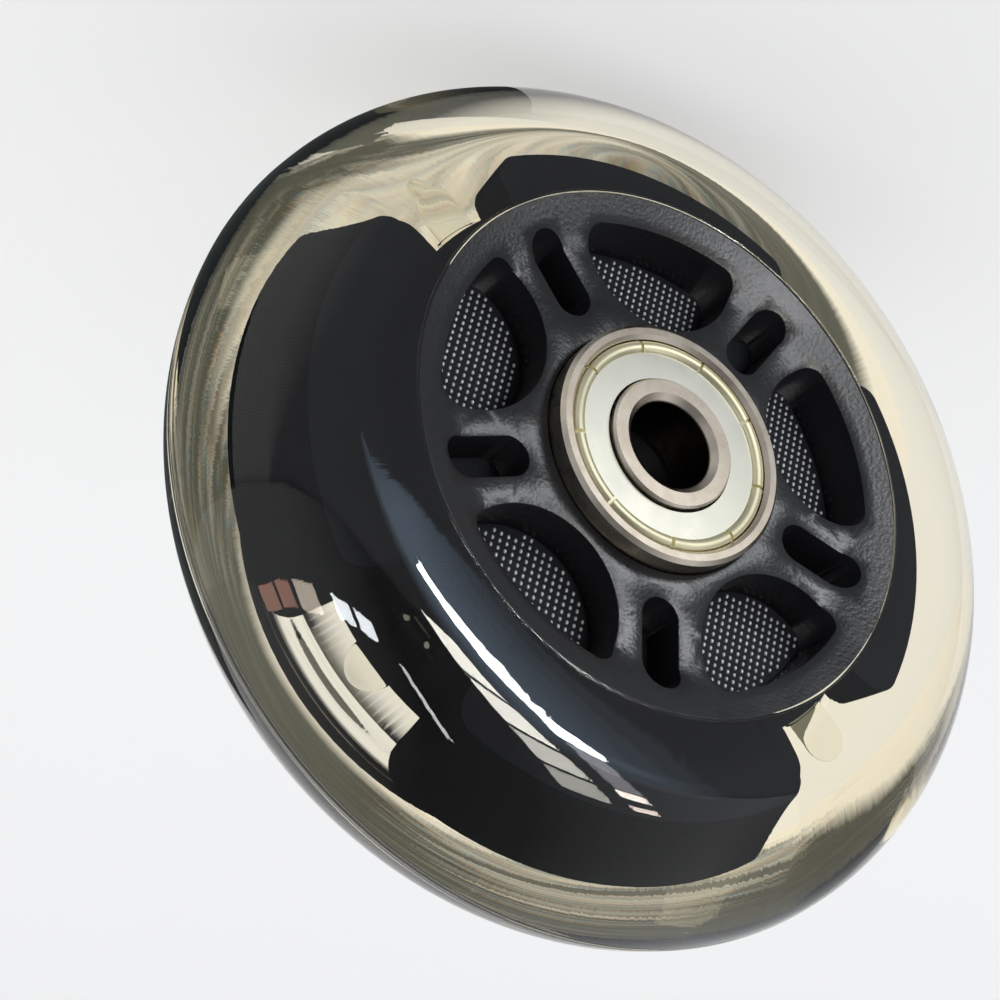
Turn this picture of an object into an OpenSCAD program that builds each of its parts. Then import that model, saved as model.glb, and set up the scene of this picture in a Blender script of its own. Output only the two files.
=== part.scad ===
// Light-up inline skate wheel: a clear cast tyre on a two-part hub, two shielded
// ball bearings on a spacer, and a small generator that feeds four lamps in the rim.
// The wheel turns about Y. Its lamps need no battery: the ring magnet stays with the
// axle while the coil turns round it with the hub.

/* [Tyre] */
// Diameter over the tread
tyre_d = 80; // [74:0.5:90]
// Width at the widest place of the side wall
tyre_w = 24; // [23:0.1:28]
// Diameter of the widest place of the side wall
tyre_wide_d = 59; // [56:0.5:62]
// How pointed the tread is: 2 is an ellipse, less is sharper
tread_power = 1.75; // [1.4:0.05:2.2]
// How much the side wall falls back to the hub's edge
edge_drop = 0.34; // [0:0.02:1]

/* [Hub] */
// Diameter of the collar that the tyre is cast round
collar_d = 48; // [47:0.5:52]
// Diameter where the dished edge meets the flat spoke face
face_d = 38.8; // [36:0.2:42]
// Height of the spoke face above the wheel's middle
face_h = 9.9; // [8:0.1:11]
// Height of the window floors above the wheel's middle
floor_h = 5.4; // [5.3:0.1:6.5]
// Thickness of the window floors
floor_t = 1.2; // [0.8:0.1:1.4]
// Number of windows, with a slot between each pair
window_count = 5; // [3:1:6]
// Radius of a window's round inner side
window_r = 7.8; // [5:0.1:8.2]
// Distance of that round side's centre from the axis
window_at_r = 20.2; // [19.8:0.1:21.4]
// Radius of the windows' outer side
window_out_r = 21.5; // [20:0.1:22.5]
// Radius of a window's corners
window_corner_r = 1.6; // [0.5:0.1:2.5]
// Width of a slot
slot_w = 3.5; // [2:0.1:4.5]
// Radius where a slot begins
slot_in_r = 13.5; // [12.6:0.1:15]
// Radius where a slot ends
slot_out_r = 21.6; // [19:0.1:22.5]
// Diameter of the hollow that holds the generator
chamber_d = 47.8; // [46.4:0.2:48.6]

/* [Drum] */
// Diameter of the rim lobes inside the tyre
drum_d = 60; // [56:0.5:66]
// Width of the rim lobes
drum_w = 9; // [6:0.1:12]
// Diameter of the notch floors that the lamps stand on
notch_d = 51; // [50.4:0.2:53]
// Angle of a notch
notch_angle = 23.6; // [18:0.2:36]
// Radius of a lobe's rounded ends
lobe_corner_r = 2.2; // [0.5:0.1:3]
// Diameter of the locating pegs between the hub halves
peg_d = 2.4; // [1.5:0.1:3]
// Height of the locating pegs
peg_h = 2.5; // [1:0.1:3.5]
// Diameter of the circle that the pegs stand on
peg_circle_d = 54.6; // [54:0.1:56]

/* [Bearings] */
// Width over the outer faces of both bearings
bearing_span = 24; // [23:0.1:26]
// Outer diameter of a bearing
bearing_od = 22; // [21:0.1:22.6]
// Bore of a bearing
bearing_bore = 8; // [7:0.1:8.2]
// Width of a bearing
bearing_w = 7; // [6.6:0.1:7.4]
// Diameter of the circle through the ball centres
ball_circle_d = 15; // [14.8:0.1:15.2]
// Diameter of a ball
ball_d = 3.969; // [3.5:0.001:4]
// Number of balls in a bearing
ball_count = 7; // [5:1:7]
// Diameter of the inner ring's shoulders
inner_land_d = 11.9; // [11.8:0.05:12.3]
// Diameter of the outer ring's shoulders
outer_land_d = 18; // [17.6:0.05:18.4]
// Diameter of the recess that a shield is rolled into
shield_seat_d = 19.4; // [19.2:0.05:19.6]
// Depth of that recess
shield_seat_depth = 1.4; // [1.35:0.05:1.5]
// Chamfer on the rings' edges
ring_chamfer = 0.35; // [0.1:0.05:0.5]
// Chamfer at the mouth of the bore
bore_chamfer = 0.6; // [0.2:0.05:0.8]
// Thickness of a shield's flat
shield_t = 0.25; // [0.2:0.01:0.35]
// Radius of the rolled bead at a shield's rim
bead_r = 0.58; // [0.5:0.01:0.6]
// Number of slits in the rolled bead
bead_slits = 9; // [4:1:12]
// Width of a slit in the rolled bead
slit_w = 0.3; // [0.15:0.05:0.6]
// Radial thickness of a ball cage
cage_depth = 1.3; // [0.8:0.05:1.6]
// Thickness of a cage's ring beside the balls
cage_back_t = 0.42; // [0.3:0.01:0.6]
// How far a cage's prongs reach past the balls' centres
cage_prong_h = 1.2; // [0.5:0.1:1.6]

/* [Axle core] */
// Bore of the spacer, in line with the bearings' bores
spacer_bore = 8; // [8:0.05:8.6]
// Outer diameter of the spacer
spacer_od = 10.4; // [9.6:0.1:11]
// Outer diameter of the ring magnet
magnet_od = 17.2; // [15:0.1:17.6]
// Width of the ring magnet
magnet_w = 7.2; // [5:0.1:7.6]

/* [Generator] */
// Number of claws on each pole plate
claw_count = 4; // [3:1:6]
// Angle that a claw covers
claw_angle = 28; // [16:1:29]
// Thickness of the claws
claw_t = 1; // [0.6:0.05:1.2]
// Thickness of the pole plates
plate_t = 0.8; // [0.5:0.05:1]
// Wall of the coil bobbin
bobbin_t = 0.6; // [0.4:0.05:0.8]
// Outer diameter of the coil winding
winding_d = 32; // [28:0.2:33]
// Wall of the yoke round the coil
yoke_t = 0.8; // [0.5:0.05:1.2]
// Outer diameter of the yoke
yoke_d = 35.2; // [34.8:0.1:35.8]
// Width of the gap in the yoke for the coil's leads
yoke_gap_w = 3; // [2.2:0.1:5]

/* [Lamps] */
// Diameter of a lamp's lens
lamp_d = 4; // [3:0.1:5]
// Diameter of a lamp's foot
lamp_foot_d = 4.8; // [4.6:0.1:5.4]
// Thickness of a lamp's foot
lamp_foot_t = 0.8; // [0.5:0.1:1.2]
// Radius where the lens begins to round over
lamp_dome_r = 28.4; // [27:0.1:29.5]
// How deep a lamp's foot is let into the notch floor
lamp_sink = 0.3; // [0.2:0.05:0.6]
// Inner diameter of the circuit board
board_id = 36.4; // [36:0.1:38]
// Outer diameter of the circuit board
board_od = 47.2; // [46:0.1:47.4]
// Thickness of the circuit board
board_t = 0.8; // [0.6:0.05:1.2]
// How far the board's upper face lies behind the wheel's middle
board_drop = 0.4; // [0.3:0.05:1]
// Width of the ledge that carries the board
ledge_w = 1.3; // [0.8:0.1:2]
// Diameter of a lamp's leads
lead_d = 0.5; // [0.3:0.02:0.56]
// Distance between a lamp's two leads
lead_pitch = 2.54; // [1.5:0.01:2.8]
// Radius where a lead ends on the board
lead_in_r = 20.5; // [19:0.1:22]
// Diameter of the coil's leads
coil_lead_d = 0.4; // [0.2:0.02:0.5]

/* [Clearances] */
// Radial gap between a bearing and its pocket
bearing_fit = 0.01; // [0:0.005:0.05]
// Gap between a ball and its race
race_gap = 0.076; // [0.03:0.002:0.1]
// Gap between a ball and its cage
cage_gap = 0.045; // [0.02:0.005:0.08]
// Gap between a shield and the inner ring
shield_gap = 0.2; // [0.1:0.02:0.3]
// How far a shield lies below the bearing's face
shield_recess = 0.15; // [0.1:0.01:0.2]
// Gap between a rolled bead and its recess
bead_fit = 0.02; // [0.01:0.005:0.05]
// Air gap between the magnet and the claws
air_gap = 0.6; // [0.4:0.05:0.8]
// Gap between the claws and the bobbin
bobbin_fit = 0.1; // [0.05:0.01:0.2]
// Gap between a peg and its hole
peg_fit = 0.1; // [0.05:0.01:0.2]
// Gap between a lead and its hole
lead_fit = 0.05; // [0.03:0.01:0.1]
// Gap between a claw's tip and the far plate
claw_tip_gap = 0.8; // [0.4:0.1:1.5]

/* [Hidden] */
$fn = 96;

// Colours of the photographed wheel
urethane = [0.87, 0.84, 0.70, 0.4];
black_nylon = [0.07, 0.07, 0.075];
ring_steel = [0.72, 0.70, 0.67];
ball_steel = [0.82, 0.82, 0.83];
zinc_plate = [0.80, 0.80, 0.68];
ferrite = [0.20, 0.19, 0.19];
copper = [0.72, 0.40, 0.22];
natural_nylon = [0.88, 0.86, 0.80];
board_green = [0.10, 0.36, 0.20];
clear_epoxy = [0.92, 0.93, 0.92, 0.5];
tinned = [0.78, 0.78, 0.76];

// Lamps, one in each rim notch and each a node of its own
lamp_count = 4;

// Tyre and hub
tyre_r = tyre_d / 2;
wide_r = tyre_wide_d / 2;
collar_r = collar_d / 2;
collar_h = tyre_w / 2 - edge_drop;
tread_steps = 24;
side_steps = 6;
drum_r = drum_d / 2;
notch_r = notch_d / 2;
chamber_r = chamber_d / 2;
chamber_h = floor_h - floor_t;
pocket_r = bearing_od / 2 + bearing_fit;
shoulder_r = shield_seat_d / 2;
pocket_lead_in = ring_chamfer / 2;
// A slot points straight up, and a window straight down
slot_phase = 90;
window_phase = slot_phase + 180 / window_count;
lamp_phase = 180 / lamp_count;
peg_phase = 0;
peg_r = peg_circle_d / 2;

// Bearings, each about its own middle
bearing_h = (bearing_span - bearing_w) / 2;
half_w = bearing_w / 2;
seat_h = bearing_span / 2 - bearing_w;
ball_r = ball_d / 2;
ball_at_r = ball_circle_d / 2;
race_r = ball_r + race_gap;
inner_land_r = inner_land_d / 2;
outer_land_r = outer_land_d / 2;
shield_seat_r = shield_seat_d / 2;
bead_at_r = shield_seat_r - bead_fit - bead_r;
bead_h = half_w - shield_recess - bead_r;
shield_top = bead_h + bead_r / 4;

// Generator, packed between the two window floors
plate_h = chamber_h - plate_t;
claw_in_r = magnet_od / 2 + air_gap;
claw_out_r = claw_in_r + claw_t;
// The plates' holes run through the middle of the claws' roots
plate_in_r = claw_in_r + claw_t / 2;
bobbin_in_r = claw_out_r + bobbin_fit;
winding_in_r = bobbin_in_r + bobbin_t;
winding_h = plate_h - bobbin_t;
yoke_r = yoke_d / 2;
board_top = -board_drop;
board_r = board_od / 2;
lead_h = board_top + lead_d / 2;
coil_lead_h = board_top + coil_lead_d / 2;
coil_lead_gap = yoke_gap_w / 2;
lamp_foot_r = notch_r - lamp_sink;

// Stands the wheel up: what is built along Z then faces the front, which is -Y
module on_axle() rotate([90, 0, 0]) children();

// Repeats its children round the axis
module ring_of(count, phase) {
    for (i = [0 : count - 1])
        rotate(phase + i * 360 / count) children();
}

// A tube round the axis, from one height to another
module tube(in_r, out_r, from_h, to_h) {
    translate([0, 0, from_h]) linear_extrude(to_h - from_h) difference() {
        circle(out_r);
        circle(in_r);
    }
}

function polar(r, a) = [r * cos(a), r * sin(a)];

// A wedge from the axis, wider than anything it cuts
module wedge(half_angle) {
    reach = 2 * tyre_r;
    polygon([[0, 0], polar(reach, -half_angle), polar(reach, 0), polar(reach, half_angle)]);
}

// One rim lobe with rounded ends, its middle on +X
module lobe_2d() {
    half_angle = (360 / lamp_count - notch_angle) / 2;
    corner_at_r = drum_r - lobe_corner_r;
    corner_angle = half_angle - asin(lobe_corner_r / corner_at_r);
    side_r = sqrt(corner_at_r ^ 2 - lobe_corner_r ^ 2);
    intersection() {
        circle(side_r);
        wedge(half_angle);
    }
    intersection() {
        circle(drum_r);
        wedge(corner_angle);
    }
    for (side = [-1, 1])
        translate(polar(corner_at_r, side * corner_angle)) circle(lobe_corner_r);
}

// Outline of the rim drum: lobes with a notch at each lamp
module drum_2d() {
    circle(notch_r);
    ring_of(lamp_count, lamp_phase + 180 / lamp_count) lobe_2d();
}

// One window, its middle on +X: two arcs that meet in rounded corners
module window_2d() {
    out_c = window_out_r - window_corner_r;
    in_c = window_r - window_corner_r;
    corner_angle = acos((out_c ^ 2 + window_at_r ^ 2 - in_c ^ 2) / (2 * out_c * window_at_r));
    corner = polar(out_c, corner_angle);
    round_centre = [window_at_r, 0];
    to_outer = corner * 2 * window_corner_r / out_c;
    to_inner = (corner - round_centre) * 2 * window_corner_r / in_c;
    difference() {
        intersection() {
            circle(window_out_r);
            translate(round_centre) circle(window_r);
        }
        for (side = [0, 1])
            mirror([0, side]) translate(corner)
                polygon([[0, 0], to_outer, to_outer + to_inner, to_inner]);
    }
    for (side = [-1, 1])
        translate([corner.x, side * corner.y]) circle(window_corner_r);
}

// One slot with round ends, its middle on +X
module slot_2d() {
    end_r = slot_w / 2;
    translate([slot_in_r + end_r, -end_r]) square([slot_out_r - slot_in_r - slot_w, slot_w]);
    for (r = [slot_in_r + end_r, slot_out_r - end_r])
        translate([r, 0]) circle(end_r);
}

// One lamp's lens and foot, lying along +X
module lamp_body() {
    rotate([0, 90, 0]) {
        translate([0, 0, lamp_foot_r]) cylinder(d = lamp_foot_d, h = lamp_foot_t);
        translate([0, 0, lamp_foot_r]) cylinder(d = lamp_d, h = lamp_dome_r - lamp_foot_r);
        translate([0, 0, lamp_dome_r]) sphere(d = lamp_d);
    }
}

// One lamp's two leads, from the board to the foot, grown by a gap for their holes
module lamp_lead_pair(gap) {
    for (side = [-1, 1])
        translate([lead_in_r, side * lead_pitch / 2, lead_h])
            rotate([0, 90, 0]) cylinder(d = lead_d + 2 * gap, h = lamp_foot_r - lead_in_r);
}

// One half of the hub, from the wheel's middle to its face
module hub_half() {
    difference() {
        union() {
            rotate_extrude() polygon([
                [shoulder_r, chamber_h], [shoulder_r, seat_h],
                [pocket_r, seat_h], [pocket_r, face_h - pocket_lead_in],
                [pocket_r + pocket_lead_in, face_h], [face_d / 2, face_h],
                [collar_r, collar_h], [collar_r, 0],
                [chamber_r, 0], [chamber_r, chamber_h]]);
            linear_extrude(drum_w / 2) difference() {
                drum_2d();
                circle(chamber_r);
            }
        }
        translate([0, 0, floor_h]) linear_extrude(collar_h) {
            ring_of(window_count, window_phase) window_2d();
            ring_of(window_count, slot_phase) slot_2d();
        }
        ring_of(lamp_count, lamp_phase) lamp_body();
    }
}

// A peg, or its hole, on each lobe
module pegs(gap) {
    ring_of(lamp_count, peg_phase)
        translate([peg_r, 0, 0]) cylinder(d = peg_d + 2 * gap, h = peg_h + gap);
}

module tyre() {
    tread = [for (i = [0 : tread_steps]) let (t = 90 * i / tread_steps)
        [wide_r + (tyre_r - wide_r) * cos(t) ^ (2 / tread_power),
         tyre_w / 2 * sin(t) ^ (2 / tread_power)]];
    side = [for (i = [1 : side_steps]) let (s = i / side_steps)
        [wide_r + (collar_r - wide_r) * s, tyre_w / 2 - edge_drop * s ^ 2]];
    front = concat(tread, side);
    last = len(front) - 1;
    rear = [for (i = [last : -1 : 1]) [front[i].x, -front[i].y]];
    color(urethane) on_axle() difference() {
        rotate_extrude() polygon(concat(front, rear));
        translate([0, 0, -drum_w / 2]) linear_extrude(drum_w) drum_2d();
        ring_of(lamp_count, lamp_phase) lamp_body();
    }
}

module hub_front() {
    color(black_nylon) on_axle() difference() {
        hub_half();
        pegs(peg_fit);
        ring_of(lamp_count, lamp_phase) lamp_lead_pair(lead_fit);
    }
}

module hub_rear() {
    ledge_r = board_r - ledge_w;
    color(black_nylon) on_axle() difference() {
        union() {
            mirror([0, 0, 1]) hub_half();
            pegs(0);
            translate([0, 0, -chamber_h]) linear_extrude(chamber_h + board_top - board_t)
                difference() {
                    circle(chamber_r);
                    circle(ledge_r);
                }
        }
        ring_of(lamp_count, lamp_phase) lamp_lead_pair(lead_fit);
    }
}

// A bearing's outer ring, with its race and the two shield recesses
module outer_ring() {
    r = bearing_od / 2;
    c = ring_chamfer;
    land_h = half_w - shield_seat_depth;
    rotate_extrude() difference() {
        polygon([
            [outer_land_r, -land_h], [shield_seat_r, -land_h], [shield_seat_r, c - half_w],
            [shield_seat_r + c, -half_w], [r - c, -half_w], [r, c - half_w],
            [r, half_w - c], [r - c, half_w], [shield_seat_r + c, half_w],
            [shield_seat_r, half_w - c], [shield_seat_r, land_h], [outer_land_r, land_h]]);
        translate([ball_at_r, 0]) circle(race_r);
    }
}

// A bearing's inner ring, with its race and bore
module inner_ring() {
    r = bearing_bore / 2;
    b = bore_chamfer;
    c = ring_chamfer / 2;
    rotate_extrude() difference() {
        polygon([
            [r, b - half_w], [r + b, -half_w], [inner_land_r - c, -half_w],
            [inner_land_r, c - half_w], [inner_land_r, half_w - c],
            [inner_land_r - c, half_w], [r + b, half_w], [r, half_w - b]]);
        translate([ball_at_r, 0]) circle(race_r);
    }
}

module ball_set() {
    ring_of(ball_count, slot_phase) translate([ball_at_r, 0, 0]) sphere(ball_r);
}

// A crown cage: a ring beside the balls, with prongs that reach between them
module ball_cage() {
    opening_r = ball_r + cage_gap;
    difference() {
        tube(ball_at_r - cage_depth / 2, ball_at_r + cage_depth / 2,
            -cage_prong_h, opening_r + cage_back_t);
        ring_of(ball_count, slot_phase) translate([ball_at_r, 0, 0]) sphere(opening_r);
    }
}

// A shield with its rolled and slit bead, at the bearing's outer face
module shield() {
    difference() {
        rotate_extrude() {
            translate([inner_land_r + shield_gap, shield_top - shield_t])
                square([bead_at_r - inner_land_r - shield_gap, shield_t]);
            translate([bead_at_r, bead_h]) circle(bead_r);
        }
        ring_of(bead_slits, slot_phase)
            translate([bead_at_r - bead_r, -slit_w / 2, shield_top])
                cube([bead_r * 3, slit_w, bead_r]);
    }
}

// Places its children at the front bearing, or mirrored at the rear one
module at_front() on_axle() translate([0, 0, bearing_h]) children();
module at_rear() on_axle() translate([0, 0, -bearing_h]) mirror([0, 0, 1]) children();

module front_outer_ring() color(ring_steel) at_front() outer_ring();
module front_inner_ring() color(ring_steel) at_front() inner_ring();
module front_balls() color(ball_steel) at_front() ball_set();
module front_cage() color(natural_nylon) at_front() ball_cage();
module front_outer_shield() color(zinc_plate) at_front() shield();
module front_inner_shield() color(zinc_plate) at_front() mirror([0, 0, 1]) shield();
module rear_outer_ring() color(ring_steel) at_rear() outer_ring();
module rear_inner_ring() color(ring_steel) at_rear() inner_ring();
module rear_balls() color(ball_steel) at_rear() ball_set();
module rear_cage() color(natural_nylon) at_rear() ball_cage();
module rear_outer_shield() color(zinc_plate) at_rear() shield();
module rear_inner_shield() color(zinc_plate) at_rear() mirror([0, 0, 1]) shield();

module axle_spacer() {
    color(black_nylon) on_axle() tube(spacer_bore / 2, spacer_od / 2, -seat_h, seat_h);
}

module ring_magnet() {
    color(ferrite) on_axle() tube(spacer_od / 2, magnet_od / 2, -magnet_w / 2, magnet_w / 2);
}

// Claws that point from the plate down into the bobbin
module claws(phase) {
    ring_of(claw_count, phase) intersection() {
        tube(claw_in_r, claw_out_r, claw_tip_gap - plate_h, chamber_h);
        translate([0, 0, -chamber_h]) linear_extrude(2 * chamber_h) wedge(claw_angle / 2);
    }
}

module pole_plate() {
    color(tinned) on_axle() {
        tube(plate_in_r, yoke_r, plate_h, chamber_h);
        claws(0);
    }
}

// The other pole: a cup whose wall closes round the coil, open where the leads pass
module pole_cup() {
    wall_in_r = yoke_r - yoke_t;
    color(tinned) on_axle() {
        difference() {
            rotate_extrude() polygon([
                [plate_in_r, -chamber_h], [yoke_r, -chamber_h], [yoke_r, plate_h],
                [wall_in_r, plate_h], [wall_in_r, -plate_h], [plate_in_r, -plate_h]]);
            translate([0, -yoke_gap_w, board_top])
                cube([2 * yoke_r, 2 * yoke_gap_w, 2 * plate_h]);
        }
        mirror([0, 0, 1]) claws(180 / claw_count);
    }
}

module coil_bobbin() {
    flange_r = winding_d / 2 + bobbin_t;
    color(natural_nylon) on_axle() {
        tube(bobbin_in_r, winding_in_r, -plate_h, plate_h);
        tube(winding_in_r, flange_r, winding_h, plate_h);
        tube(winding_in_r, flange_r, -plate_h, -winding_h);
    }
}

module coil_winding() {
    color(copper) on_axle() tube(winding_in_r, winding_d / 2, -winding_h, winding_h);
}

// The coil's two leads, out through the gap in the yoke and onto the board
module coil_leads() {
    lead_end_r = board_id / 2 + ledge_w;
    color(copper) on_axle() for (side = [-1, 1])
        translate([winding_d / 2, side * coil_lead_gap, coil_lead_h])
            rotate([0, 90, 0]) cylinder(d = coil_lead_d, h = lead_end_r - winding_d / 2);
}

module circuit_board() {
    color(board_green) on_axle() tube(board_id / 2, board_r, board_top - board_t, board_top);
}

// Lamp number n, counted round from the upper right
module lamp(n) {
    color(clear_epoxy) on_axle()
        rotate(lamp_phase + (n - 1) * 360 / lamp_count) lamp_body();
}

module lamp_leads() {
    color(tinned) on_axle() ring_of(lamp_count, lamp_phase) lamp_lead_pair(0);
}

tyre();
hub_front();
hub_rear();
front_outer_ring();
front_inner_ring();
front_balls();
front_cage();
front_outer_shield();
front_inner_shield();
rear_outer_ring();
rear_inner_ring();
rear_balls();
rear_cage();
rear_outer_shield();
rear_inner_shield();
axle_spacer();
ring_magnet();
pole_plate();
pole_cup();
coil_bobbin();
coil_winding();
coil_leads();
circuit_board();
lamp(1);  // lamp_1
lamp(2);  // lamp_2
lamp(3);  // lamp_3
lamp(4);  // lamp_4
lamp_leads();
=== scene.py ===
"""Looks of a light-up inline skate wheel: a clear cast tyre on a black hub, with steel bearings."""
import math

import bmesh
import bpy
from mathutils import Matrix, Vector


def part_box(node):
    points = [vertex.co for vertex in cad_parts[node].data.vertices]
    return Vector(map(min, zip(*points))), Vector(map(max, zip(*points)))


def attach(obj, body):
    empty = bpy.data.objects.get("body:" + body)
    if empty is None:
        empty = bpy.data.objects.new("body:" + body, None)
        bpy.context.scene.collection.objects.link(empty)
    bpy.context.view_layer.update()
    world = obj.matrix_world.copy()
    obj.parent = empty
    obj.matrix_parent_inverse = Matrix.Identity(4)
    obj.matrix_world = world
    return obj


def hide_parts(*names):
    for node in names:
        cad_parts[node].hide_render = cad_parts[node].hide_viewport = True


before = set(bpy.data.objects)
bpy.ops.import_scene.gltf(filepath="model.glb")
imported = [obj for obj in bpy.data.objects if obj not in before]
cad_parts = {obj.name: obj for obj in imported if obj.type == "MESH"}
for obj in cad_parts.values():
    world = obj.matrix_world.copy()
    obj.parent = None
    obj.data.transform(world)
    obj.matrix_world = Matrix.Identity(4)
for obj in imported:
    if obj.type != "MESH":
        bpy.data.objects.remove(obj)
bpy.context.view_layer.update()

MM = 0.001

# Sizes taken from the frame
tyre_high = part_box("tyre")[1]
TYRE_R = tyre_high.z
TYRE_HALF_W = tyre_high.y
DRUM_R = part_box("hub_front")[1].x

# The tyre's outline and the hub that it is cast round
WIDE_R = 29.5 * MM
TREAD_POWER = 1.75
FRONT_DROP = 0.34 * MM
REAR_DROP = 1.0 * MM
COLLAR_R = 24 * MM
DRUM_HALF_W = 4.5 * MM
NOTCH_R = 25.5 * MM
NOTCH_ANGLE = math.radians(23.6)
LOBE_COUNT = 4
LOBE_PITCH = 2 * math.pi / LOBE_COUNT
LOBE_CORNER_R = 2.2 * MM
LOBE_DRAFT = math.radians(0.03)
# Feet of the lamps, which are let into the notch floors
LAMP_FOOT_R = 2.4 * MM
LAMP_SEAT_R = 25.2 * MM
SEAT_CLEARANCE = 0.1 * MM
SEAT_WALL = 0.03 * MM
# How far the tyre's inner wall reaches into the hub, so that no air lies between them
CAST_OVERLAP = 0.06 * MM
# Air between the urethane and the hub's rear collar, where the casting has shrunk
SHRINK_GAP = 0.02 * MM
# Rounded lip where the urethane meets the hub's edge
LIP_R = 0.13 * MM
LIP_STEPS = 8
# Parting line round the tread: its distance from the middle, its width and its height
SEAM_AT = 0.30 * MM
SEAM_W = 0.09 * MM
SEAM_H = 0.03 * MM

# Windows of the hub and the dots on their floors
WINDOW_COUNT = 5
WINDOW_PHASE = math.radians(126)
WINDOW_R = 7.8 * MM
WINDOW_AT_R = 20.2 * MM
WINDOW_OUT_R = 21.5 * MM
WINDOW_FLOOR_H = 5.4 * MM
DOT_PITCH = 0.69 * MM
DOT_TURN = math.radians(-12)
DOT_LENGTH = 0.23 * MM
DOT_WIDTH = 0.16 * MM
DOT_HEIGHT = 0.14 * MM
DOT_MARGIN = 0.35 * MM
DOT_SIDES = 8
# Levels of a dot from its foot up, as shares of its width and of its height
DOT_LEVELS = ((1.0, -0.3), (0.94, 0.35), (0.6, 0.82))

# Rounding of the hub's outer edges, the angle from which an edge is rounded, and its least height
# above the drum
EDGE_ROUND = 0.09 * MM
EDGE_ANGLE = math.radians(28)
RIM_MARGIN = 0.1 * MM
# Cleaning of the hub's mesh before that: faces this flat become one, points this close are joined
FLAT_ANGLE = math.radians(0.3)
WELD = 0.002 * MM
MERGE = 0.06 * MM
SLIVER = 0.001 * MM
# How near a face has to lie to a radius or a height to count as part of it, and when it is level
NEAR = 0.05 * MM
LEVEL_NORMAL = 0.99
# Finishes of a hub half: bare, under the urethane, and on the floor of a window
BARE, COVERED, WINDOW = range(3)

# Camera of the photograph: place, point that it looks at, roll and lens
CAMERA_AT = Vector((83.0, -130.9, 79.05)) * MM
CAMERA_AIM = Vector((7.31, 4.44, 0.62)) * MM
CAMERA_ROLL = math.radians(177.8)
CAMERA_LENS = 70.64
CAMERA_NEAR = 0.005

# Floor, in metres
FLOOR_HALF = 6.0

# Cards, in millimetres: the level on which they lie or stand, and how far the widest ones reach
CARD_LEVEL = -39.5
CARD_REACH = 6000
FRONT_CARD_END = -14
RIGHT_CARD_START = 12
KINDS_OF_SIGHT = ("camera", "diffuse", "glossy", "transmission", "shadow", "volume_scatter")

# The room: way to the middle of the pale backdrop, colours, and how pale mirrored walls are across it
BACKDROP_WAY = (-0.09, 0.996, 0.0)
BACKDROP_COLOUR = (0.84, 0.845, 0.86)
ROOM_COLOUR = (0.13, 0.135, 0.145)
LEVEL_LIGHT = (0.60, 0.605, 0.61)
WALL_TINT = Vector((0.96, 0.98, 1.0))
WALL_LEVELS = ((0.03, 0.25), (0.16, 0.90), (0.32, 0.55), (0.45, 0.24), (0.66, 0.16), (0.94, 0.70))

# Long streak on the tyre, in millimetres: depth of its lights, stations as (x, z, width), and its haze
STREAK_Y = -91
STREAK_STATIONS = (
    (-18.2, -25.0, 2.0), (-23.5, -20.6, 3.4), (-28.6, -16.2, 4.6), (-31.0, -9.5, 6.5),
    (-30.8, 0.0, 9.0), (-29.8, 10.5, 11.5), (-28.6, 21.5, 13.0))
STREAK_RADIANCE = 48.0
HAZE_Y = -93
HAZE_STEPS = 6
# Second streak: both ends and the radiance of each pane between them
PANES_START = Vector((-2, -160, 2))
PANES_END = Vector((-39, -131, 113))
PANE_RADIANCES = (24.0, 22.0, 13.0, 8.0)
PANE_GAP = 0.07
# Points of the tyre that its lights face
STREAK_SPOT = (13, -12, 24)
GAP_SPOT = (21, -10, 27)
CORNER_SPOT = (29, -9, 21)


def polar(radius, angle, height):
    """A point of the wheel: height counts from its middle towards the front face, which is -Y."""
    return Vector((radius * math.cos(angle), -height, radius * math.sin(angle)))


def blend(a, b, share):
    return a + (b - a) * share


def add_object(name, data):
    thing = bpy.data.objects.new(name, data)
    bpy.context.scene.collection.objects.link(thing)
    return thing


def make_piece(name, points, faces, material, body):
    """A mesh piece that rides on a body of the frame."""
    mesh = bpy.data.meshes.new(name)
    mesh.from_pydata([tuple(p) for p in points], [], faces)
    mesh.validate()
    work = bmesh.new()
    work.from_mesh(mesh)
    bmesh.ops.recalc_face_normals(work, faces=work.faces)
    if work.calc_volume(signed=True) < 0:
        bmesh.ops.reverse_faces(work, faces=work.faces)
    work.to_mesh(mesh)
    work.free()
    mesh.materials.append(material)
    piece = add_object(name, mesh)
    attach(piece, body)
    return piece


def smooth(piece, degrees):
    """Smooth shading, with sharp edges where faces meet at more than the angle."""
    mesh = piece.data
    mesh.shade_smooth()
    mesh.set_sharp_from_angle(angle=math.radians(degrees))


# Nodes of the materials and of the room


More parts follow.
